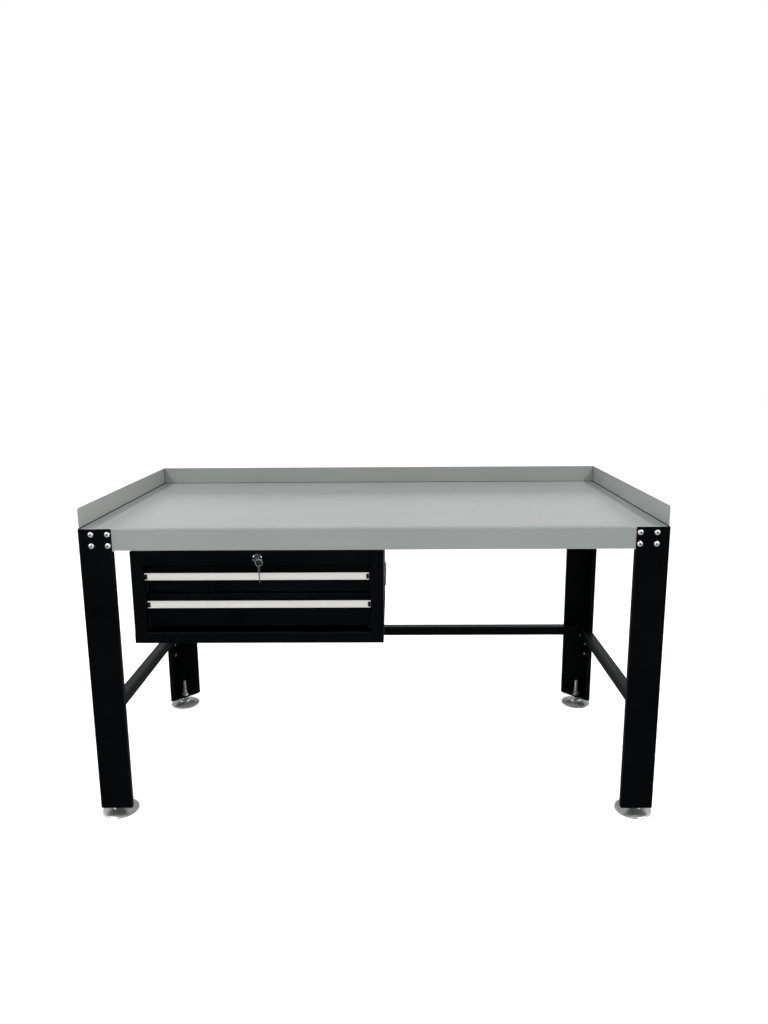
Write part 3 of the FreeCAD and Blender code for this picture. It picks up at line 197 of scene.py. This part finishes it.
def powder_coat(name, dark, light, rough_lo, rough_hi, peel, specular=0.5, scuff=0.0, seams=False):
    """Baked powder coat: orange peel, a finer grain, slow colour drift and faint rubbed patches."""
    t = Tree(name)
    v = t.at()
    drift = t.noise(v, 3.1, 4.0, 0.55)
    grain = t.noise(v, 620.0, 2.0, 0.6)
    wave = t.noise(v, 230.0, 2.0, 0.5)
    col = t.ramp(drift, [(0.35, dark), (0.65, light)])
    speck = t.ramp(t.noise(v, 1500.0, 1.0, 0.4), [(0.30, 0.90), (0.62, 1.0)])
    col = t.mix(1.0, col, speck, "MULTIPLY")
    # optional painted shade, with some grime, along the tray's joints and its rear
    if seams:
        col = t.mix(1.0, col, seam_shade_and_grime(t, v), "MULTIPLY")
    patch = t.ramp(t.noise(v, 9.0, 5.0, 0.62, 0.4), [(0.38, rough_lo), (0.66, rough_hi)])
    rough = patch
    if scuff:
        rub = t.ramp(t.noise(t.at(4.0, 26.0, 4.0), 3.0, 6.0, 0.7), [(0.62, 0.0), (0.80, scuff)])
        rough = t.math("ADD", patch, rub, True)
    height = t.math("ADD", t.math("MULTIPLY", wave, 0.75), t.math("MULTIPLY", grain, 0.25))
    normal = t.bump(height, peel, 0.0006)
    t.shader(col, rough, normal, 0.0, specular)
    return t.mat


def plated(name, tint_a, tint_b, rough_lo, rough_hi, streak=(1, 1, 1), streak_scale=90.0, bump=0.05, metallic=1.0,
           stain=0.0, recess_shade=0.0):
    """Plated or bare metal: drawn streaks, a spangled tint and a little staining, plus optional painted shade darkening
    sockets and recesses.
    """
    t = Tree(name)
    v = t.at()
    s = t.at(*streak)
    tint = t.ramp(t.noise(v, 26.0, 4.0, 0.6, 0.3), [(0.32, tint_a), (0.68, tint_b)])
    if stain:
        st = t.ramp(t.noise(v, 60.0, 6.0, 0.7, 0.6), [(0.55, 1.0), (0.78, 1.0 - stain)])
        tint = t.mix(1.0, tint, st, "MULTIPLY")
    # painted shade: ambient occlusion darkens the colour in sockets and recesses
    if recess_shade:
        ao = t.node("ShaderNodeAmbientOcclusion")
        ao.samples = 12
        ao.inputs["Distance"].default_value = recess_shade
        tint = t.mix(1.0, tint, t.ramp(ao.outputs["AO"], [(0.42, 0.02), (0.80, 1.0)]), "MULTIPLY")
    line = t.noise(s, streak_scale, 4.0, 0.62)
    rough = t.ramp(line, [(0.3, rough_lo), (0.7, rough_hi)])
    normal = t.bump(line, bump, 0.0004)
    t.shader(tint, rough, normal, metallic, 0.5)
    return t.mat


def moulded(name, dark, light, rough_lo, rough_hi):
    t = Tree(name)
    v = t.at()
    col = t.ramp(t.noise(v, 40.0, 3.0, 0.5), [(0.3, dark), (0.7, light)])
    grain = t.noise(v, 1100.0, 2.0, 0.6)
    rough = t.ramp(t.noise(v, 55.0, 4.0, 0.6), [(0.3, rough_lo), (0.7, rough_hi)])
    t.shader(col, rough, t.bump(grain, 0.25, 0.0003), 0.0, 0.4)
    return t.mat


def turned(name, tint_a, tint_b, rough_lo, rough_hi, centre, bump=0.14):
    """Spun metal: rings about a vertical axis through centre."""
    t = Tree(name)
    v = t.at(1, 1, 1, loc=(-centre[0], -centre[1], 0))
    sep = t.node("ShaderNodeSeparateXYZ", Vector=v)
    r = t.math("SQRT", t.math("ADD", t.math("POWER", sep.outputs[0], 2.0), t.math("POWER", sep.outputs[1], 2.0)))
    comb = t.node("ShaderNodeCombineXYZ")
    t.put(comb.inputs[0], r)
    t.put(comb.inputs[1], t.math("MULTIPLY", sep.outputs[2], 0.4))
    rings = t.noise(comb.outputs[0], 420.0, 4.0, 0.6)
    cloud = t.noise(t.at(), 34.0, 4.0, 0.62, 0.5)
    col = t.ramp(cloud, [(0.3, tint_a), (0.7, tint_b)])
    rough = t.ramp(t.math("ADD", t.math("MULTIPLY", rings, 0.6), t.math("MULTIPLY", cloud, 0.4)),
                   [(0.35, rough_lo), (0.65, rough_hi)])
    t.shader(col, rough, t.bump(rings, bump, 0.0006), 0.60, 0.5)
    return t.mat


M = {
    "worktop_paint": powder_coat("worktop_powder_coat", (0.402, 0.428, 0.416), (0.428, 0.455, 0.442), 0.245, 0.262, 0.10,
                                 0.5, 0.05, True),
    "frame_paint": powder_coat("black_powder_coat", (0.0020, 0.0028, 0.0036), (0.0030, 0.0039, 0.0048), 0.32, 0.42, 0.14,
                               0.22, 0.06),
    # screw heads: the last argument paints shade into the hex sockets
    "frame_fastener": plated("zinc_screw_heads", (0.92, 0.925, 0.92), (0.97, 0.97, 0.96), 0.26, 0.40, (1, 1, 1), 160.0,
                             0.03, 0.45, 0.06, 0.0045),
    "zinc": plated("zinc_plate", (0.64, 0.65, 0.67), (0.74, 0.74, 0.74), 0.22, 0.38, (1, 1, 14), 60.0, 0.04, 0.75, 0.12),
    "aluminium": plated("anodised_rail", (0.91, 0.92, 0.92), (0.95, 0.96, 0.955), 0.34, 0.46, (0.6, 60, 60), 18.0, 0.05,
                        0.12),
    "black_zinc": plated("black_zinc_plate", (0.045, 0.047, 0.050), (0.075, 0.076, 0.078), 0.26, 0.42, (1, 1, 1), 120.0,
                         0.04, 0.6, 0.15),
    "chrome": plated("chrome_plate", (0.50, 0.505, 0.51), (0.56, 0.56, 0.56), 0.05, 0.12, (1, 1, 1), 40.0, 0.01),
    "key_steel": plated("nickel_plate", (0.20, 0.20, 0.205), (0.26, 0.26, 0.265), 0.30, 0.44, (1, 12, 1), 60.0, 0.03, 0.70,
                        0.10),
    "black_plastic": moulded("moulded_black", (0.010, 0.010, 0.011), (0.018, 0.018, 0.019), 0.38, 0.55),
}


def paper_strip():
    """Off-white label card behind a thin clear cover."""
    t = Tree("label_card")
    v = t.at()
    col = t.ramp(t.noise(v, 55.0, 5.0, 0.6), [(0.3, (0.870, 0.870, 0.800)), (0.7, (0.910, 0.910, 0.840))])
    fibre = t.noise(t.at(300, 900, 900), 1.0, 3.0, 0.7)
    b = t.shader(col, t.ramp(fibre, [(0.3, 0.50), (0.7, 0.62)]), t.bump(fibre, 0.10, 0.0002), 0.0, 0.4)
    b.inputs["Coat Weight"].default_value = 0.35
    b.inputs["Coat Roughness"].default_value = 0.12
    return t.mat


M["label_strip"] = paper_strip()
# a darker, duller zinc for the drawer slide members
DARK_SLIDE_ZINC = plated("oiled_dark_zinc", (0.060, 0.060, 0.058), (0.095, 0.094, 0.090), 0.30, 0.46, (1, 14, 1), 60.0, 0.04,
                    0.7, 0.2)
NICKEL_WIRE = plated("nickel_plated_wire", (0.82, 0.82, 0.81), (0.88, 0.88, 0.87), 0.12, 0.24, (1, 1, 1), 60.0, 0.02, 0.55)
SPRING_WIRE = plated("bright_spring_wire", (0.86, 0.86, 0.86), (0.92, 0.92, 0.91), 0.20, 0.32, (1, 1, 1), 60.0, 0.02, 0.35)

record = frame["record"]
slot_of = {s["node"]: s["material_slot"] for s in record["subparts"]}
FOOT = {"front_left": (-0.7105, -0.3355), "front_right": (0.7105, -0.3355), "rear_left": (-0.7105, 0.3355),
        "rear_right": (0.7105, 0.3355)}


def paint(obj, mat):
    if not obj.data.materials:
        obj.data.materials.append(mat)
    for i in range(len(obj.data.materials)):
        obj.data.materials[i] = mat


for name, obj in NODES.items():
    s = slot_of[name]
    if s == "foot_disc":
        for k, c in FOOT.items():
            if name.startswith(k):
                # painted shade: the rear discs are painted about a quarter darker, standing in for the bench's shadow
                # over the rear feet
                rear_disc_shade = 0.74 if k.startswith("rear") else 1.0
                paint(obj, turned("zinc_disc_" + k, (0.70 * rear_disc_shade, 0.71 * rear_disc_shade, 0.70 * rear_disc_shade),
                                  (0.80 * rear_disc_shade, 0.81 * rear_disc_shade, 0.80 * rear_disc_shade), 0.26, 0.42, c))
    elif "slide" in name and s == "zinc":
        paint(obj, DARK_SLIDE_ZINC)
    elif "side_handle" in name:
        paint(obj, NICKEL_WIRE)
    else:
        paint(obj, M[s])


# ------------------------------------------------------------------ edges broken as on real sheet metal
def soften(names, width, segments=2):
    for n in names:
        m = NODES[n].modifiers.new("edge_break", "BEVEL")
        m.width = width
        m.segments = segments
        m.limit_method = "ANGLE"
        m.angle_limit = math.radians(55)
        m.use_clamp_overlap = True


soften([n for n, s in slot_of.items() if s in ("worktop_paint", "frame_paint")], 0.0003)


# ------------------------------------------------------------------ pieces modelled here
def finish_piece(name, bm, slot, body, sharp=35.0, mat=None):
    bmesh.ops.recalc_face_normals(bm, faces=bm.faces)
    me = bpy.data.meshes.new(name)
    bm.to_mesh(me)
    bm.free()
    for f in me.polygons:
        f.use_smooth = True
    me.set_sharp_from_angle(angle=math.radians(sharp))
    o = bpy.data.objects.new(name, me)
    bpy.context.scene.collection.objects.link(o)
    me.materials.append(mat or M[slot])
    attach(o, body)
    return o


def lathe_rings(bm, rings, n):
    """Rings of n points joined into a closed skin with a fan at each end; each ring is a list of points."""
    rows = [[bm.verts.new(p) for p in ring] for ring in rings]
    for a, b in zip(rows, rows[1:]):
        for i in range(n):
            j = (i + 1) % n
            bm.faces.new((a[i], a[j], b[j], b[i]))
    for row, flip in ((rows[0], True), (rows[-1], False)):
        c = sum((v.co for v in row), Vector()) / n
        c = bm.verts.new(c)
        for i in range(n):
            j = (i + 1) % n
            bm.faces.new((row[j], row[i], c) if flip else (row[i], row[j], c))


def threaded_stud(corner):
    """M12 levelling stud: collar in the disc's socket, rolled thread of 1.75 mm pitch, chamfered end."""
    cx, cy = FOOT[corner]
    n, pitch, major, depth = 28, 1.75, 6.0, 1.05
    top, start = 87.0, 14.4
    rings = []

    def ring(z, radius):
        r = radius if callable(radius) else (lambda a: radius)
        rings.append([(cx + r(2 * math.pi * i / n) * math.cos(2 * math.pi * i / n) / 1000,
                       cy + r(2 * math.pi * i / n) * math.sin(2 * math.pi * i / n) / 1000, z / 1000)
                      for i in range(n)])

    for z, r in ((6.1, 6.3), (7.1, 7.3), (13.0, 7.3), (start, 5.6)):
        ring(z, r)
    steps = int((top - 1.4 - start) / pitch * 7)
    for k in range(1, steps + 1):
        z = start + (top - 1.4 - start) * k / steps
        fade = min(1.0, (z - start) / 2.5)

        def thread(a, z=z, fade=fade):
            t = (z / pitch - a / (2 * math.pi)) % 1.0
            w = abs(t - 0.5) * 2.0                      # 1 at the crest, 0 at the root
            w = min(1.0, max(0.0, (w - 0.16) / 0.66))
            return major - depth * (1.0 - w) * fade
        ring(z, thread)
    ring(top - 1.0, 5.1)
    ring(top, 4.6)
    bm = bmesh.new()
    lathe_rings(bm, rings, n)
    o = finish_piece(corner + "_threaded_stud", bm, "zinc", corner + "_stud", 50.0)
    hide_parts(corner + "_foot_stud")
    return o


for corner in FOOT:
    threaded_stud(corner)

RING = (-0.28975, -0.38325, 0.7205)


def split_ring():
    """Two close coils of spring wire, each end cut short of a full third turn."""
    bm = bmesh.new()
    n, steps, wire, radius = 10, 132, 0.00043, 0.0090
    turns = 1.94
    rings = []
    for k in range(steps + 1):
        f = k / steps
        a = math.radians(-60) + f * turns * 2 * math.pi
        y = (f - 0.5) * turns * 0.00064
        w = wire * (0.55 if k in (0, steps) else 1.0)
        out = Vector((math.cos(a), 0, math.sin(a)))
        c = Vector(RING) + out * radius + Vector((0, y, 0))
        rings.append([c + out * (w * math.cos(2 * math.pi * i / n)) + Vector((0, w * math.sin(2 * math.pi * i / n), 0))
                      for i in range(n)])
    lathe_rings(bm, rings, n)
    o = finish_piece("split_ring_coils", bm, "key_steel", "split_ring", 60.0, SPRING_WIRE)
    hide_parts("key_ring")
    return o


split_ring()


def lock_barrel():
    """Barrel with a smoothly domed bezel, turned about the lock's axis."""
    cx, cz, face, bore = -0.2960, 0.7270, -0.3650, 6.06
    prof = [(bore, -26.0), (9.3, -26.0), (9.3, -0.02), (12.75, -0.02), (12.8, 0.9)]
    for k in range(1, 15):
        a = math.radians(90 * k / 14)
        prof.append((bore + 0.7 + (12.1 - bore) * math.cos(a), 0.9 + 3.9 * math.sin(a)))
    prof.append((bore, 4.3))
    n = 56
    bm = bmesh.new()
    rows = []
    for r, d in prof:
        rows.append([bm.verts.new((cx + r * math.cos(2 * math.pi * i / n) / 1000, face - d / 1000,
                                   cz + r * math.sin(2 * math.pi * i / n) / 1000)) for i in range(n)])
    for a, b in zip(rows, rows[1:] + rows[:1]):
        for i in range(n):
            j = (i + 1) % n
            bm.faces.new((a[i], a[j], b[j], b[i]))
    o = finish_piece("lock_barrel_domed", bm, "chrome", "bench", 40.0)
    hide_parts("lock_barrel")
    return o


lock_barrel()


def spare_key():
    """Second key: round-cornered bow hung on the ring, shoulder, and a cut blade, turned nearly edge on."""
    half, thick = 10.0, 1.8
    hole_r, hole_z = 2.6, 0.0
    pts = []

    def arc(cx, cz, r, a0, a1, steps=6):
        for i in range(steps + 1):
            a = math.radians(a0 + (a1 - a0) * i / steps)
            pts.append((cx + r * math.cos(a), cz + r * math.sin(a)))

    top, low, r = 4.6, -12.6, 5.2
    arc(half - r, top - r, r, 90, 0)
    arc(half - r, low + r, r, 0, -90)
    pts.append((3.9, low))
    pts.append((3.9, low - 2.6))
    pts.append((3.0, low - 3.4))
    tip = -42.0
    pts.append((3.0, tip + 3.0))
    pts.append((0.6, tip))
    pts.append((-1.2, tip + 1.0))
    # cuts along one edge of the blade
    z = tip + 3.0
    for d, run in ((1.9, 2.2), (0.9, 2.4), (2.2, 2.2), (1.3, 2.4), (0.6, 2.2), (1.6, 2.2)):
        pts.append((-3.0 + d, z))
        pts.append((-3.0 + d, z + run * 0.45))
        z += run
        pts.append((-3.0 + 0.2, z - run * 0.12))
    pts.append((-3.0, z + 1.0))
    pts.append((-3.0, low - 3.4))
    pts.append((-3.9, low - 2.6))
    pts.append((-3.9, low))
    arc(-half + r, low + r, r, 270, 180)
    arc(-half + r, top - r, r, 180, 90)
    hole = [(hole_r * math.cos(2 * math.pi * i / 20), hole_z + hole_r * math.sin(2 * math.pi * i / 20))
            for i in range(20)]
    bm = bmesh.new()
    edges = []
    for loop in (pts, hole):
        vs = [bm.verts.new((x, -thick / 2, z)) for x, z in loop]
        edges += [bm.edges.new((vs[i], vs[(i + 1) % len(vs)])) for i in range(len(vs))]
    bmesh.ops.triangle_fill(bm, use_beauty=True, use_dissolve=False, edges=edges)
    made = bmesh.ops.extrude_face_region(bm, geom=list(bm.faces))
    bmesh.ops.translate(bm, vec=(0, thick, 0), verts=[v for v in made["geom"] if isinstance(v, bmesh.types.BMVert)])
    turn = Matrix.Rotation(math.radians(86), 4, "Z") @ Matrix.Rotation(math.radians(-1.2), 4, "Y")
    hang = Vector((RING[0], RING[1], RING[2] - 0.0090 + 0.00043 - hole_r / 1000))
    bm.transform(Matrix.Translation(hang) @ turn @ Matrix.Scale(0.001, 4))
    o = finish_piece("spare_key", bm, "key_steel", "split_ring", 30.0)
    m = o.modifiers.new("edge_break", "BEVEL")
    m.width = 0.00018
    m.segments = 2
    m.limit_method = "ANGLE"
    m.angle_limit = math.radians(50)
    return o


spare_key()


# ------------------------------------------------------------------ stage and light
def floor():
    bm = bmesh.new()
    s = 16.0
    vs = [bm.verts.new((x, y, 0)) for x, y in ((-s, -s), (s, -s), (s, s), (-s, s))]
    bm.faces.new(vs)
    me = bpy.data.meshes.new("studio_floor")
    bm.to_mesh(me)
    bm.free()
    o = bpy.data.objects.new("studio_floor", me)
    bpy.context.scene.collection.objects.link(o)
    t = Tree("studio_floor_paint")
    v = t.at()
    col = t.ramp(t.noise(v, 0.6, 2.0, 0.5), [(0.3, 0.86), (0.7, 0.88)])
    b = t.shader(col, 0.9, None, 0.0, 0.1)
    b.inputs["Emission Color"].default_value = (1, 1, 1, 1)
    b.inputs["Emission Strength"].default_value = 0.84
    me.materials.append(t.mat)
    o.visible_glossy = False
    o.visible_diffuse = False
    return o


floor()


def area(name, loc, target, size, power, color=(1, 1, 1), size_y=None):
    d = bpy.data.lights.new(name, "AREA")
    d.energy = power
    d.color = color
    d.shape = "RECTANGLE" if size_y else "SQUARE"
    d.size = size
    if size_y:
        d.size_y = size_y
    o = bpy.data.objects.new(name, d)
    bpy.context.scene.collection.objects.link(o)
    o.location = loc
    o.rotation_mode = "QUATERNION"
    o.rotation_quaternion = (Vector(target) - Vector(loc)).to_track_quat("-Z", "Y")
    return o


area("key_left", (-2.15, -0.60, 3.05), (-0.2, 0.1, 0.8), 0.50, 41)
area("key_right", (2.15, -0.60, 3.05), (0.2, 0.1, 0.8), 0.50, 41)
fill = area("front_fill", (0.0, -4.6, 2.6), (0, 0, 0.6), 3.0, 24)
fill.visible_glossy = False


def sky():
    """Soft even light; what the gloss sees is bright overhead and behind, darker low down in front."""
    world = bpy.data.worlds.new("studio")
    bpy.context.scene.world = world
    world.use_nodes = True
    t = world.node_tree
    t.nodes.clear()
    out = t.nodes.new("ShaderNodeOutputWorld")
    tc = t.nodes.new("ShaderNodeTexCoord")
    sep = t.nodes.new("ShaderNodeSeparateXYZ")
    t.links.new(tc.outputs["Generated"], sep.inputs[0])

    def ramp(src, scale, offset, stops):
        m = t.nodes.new("ShaderNodeMath")
        m.operation = "MULTIPLY_ADD"
        m.inputs[1].default_value = scale
        m.inputs[2].default_value = offset
        t.links.new(src, m.inputs[0])
        r = t.nodes.new("ShaderNodeValToRGB")
        els = r.color_ramp.elements
        els[0].position, els[0].color = stops[0][0], (stops[0][1],) * 3 + (1,)
        els[1].position, els[1].color = stops[1][0], (stops[1][1],) * 3 + (1,)
        for pos, c in stops[2:]:
            e = els.new(pos)
            e.color = (c, c, c, 1)
        t.links.new(m.outputs[0], r.inputs[0])
        return r.outputs[0]

    def background(color, strength):
        b = t.nodes.new("ShaderNodeBackground")
        b.inputs["Strength"].default_value = strength
        if isinstance(color, tuple):
            b.inputs["Color"].default_value = color
        else:
            t.links.new(color, b.inputs["Color"])
        return b.outputs[0]

    # even light for matt surfaces: sky above, the pale floor's bounce below
    even = ramp(sep.outputs[2], 0.5, 0.5, [(0.47, 1.08), (0.53, 0.235), (0.60, 0.255), (1.0, 0.285)])
    diffuse = background(even, 1.14)
    # reflections: height times front-to-back
    high = ramp(sep.outputs[2], 0.5, 0.5, [(0.49, 0.12), (0.515, 1.0), (0.60, 1.0), (0.65, 0.07), (0.71, 0.07), (0.77, 0.6), (1.0, 0.7)])
    back = ramp(sep.outputs[1], 0.5, 0.5, [(0.28, 0.14), (0.75, 1.0)])
    mul = t.nodes.new("ShaderNodeMix")
    mul.data_type = "RGBA"
    mul.blend_type = "MULTIPLY"
    mul.inputs[0].default_value = 1.0
    t.links.new(high, mul.inputs[6])
    t.links.new(back, mul.inputs[7])
    # a long softbox at either side, low enough to draw highlights on upright edges
    left_right = t.nodes.new("ShaderNodeMath")
    left_right.operation = "ABSOLUTE"
    t.links.new(sep.outputs[0], left_right.inputs[0])
    side = ramp(left_right.outputs[0], 1.0, 0.0, [(0.74, 0.0), (0.88, 1.0)])
    band = ramp(sep.outputs[2], 0.5, 0.5, [(0.53, 0.0), (0.57, 1.0), (0.74, 1.0), (0.80, 0.0)])
    box = t.nodes.new("ShaderNodeMix")
    box.data_type = "RGBA"
    box.blend_type = "MULTIPLY"
    box.inputs[0].default_value = 1.0
    t.links.new(side, box.inputs[6])
    t.links.new(band, box.inputs[7])
    even_gloss = background(mul.outputs[2], 1.15)
    side_gloss = background(box.outputs[2], 3.8)
    total = t.nodes.new("ShaderNodeAddShader")
    t.links.new(even_gloss, total.inputs[0])
    t.links.new(side_gloss, total.inputs[1])
    glossy = total.outputs[0]
    white = background((1, 1, 1, 1), 1.0)
    path = t.nodes.new("ShaderNodeLightPath")
    m1 = t.nodes.new("ShaderNodeMixShader")
    t.links.new(path.outputs["Is Glossy Ray"], m1.inputs[0])
    t.links.new(diffuse, m1.inputs[1])
    t.links.new(glossy, m1.inputs[2])
    m2 = t.nodes.new("ShaderNodeMixShader")
    t.links.new(path.outputs["Is Camera Ray"], m2.inputs[0])
    t.links.new(m1.outputs[0], m2.inputs[1])
    t.links.new(white, m2.inputs[2])
    t.links.new(m2.outputs[0], out.inputs["Surface"])


sky()

scene = bpy.context.scene
scene.view_settings.view_transform = "Standard"
scene.view_settings.look = "None"
scene.view_settings.exposure = 0.0
scene.view_settings.gamma = 1.0
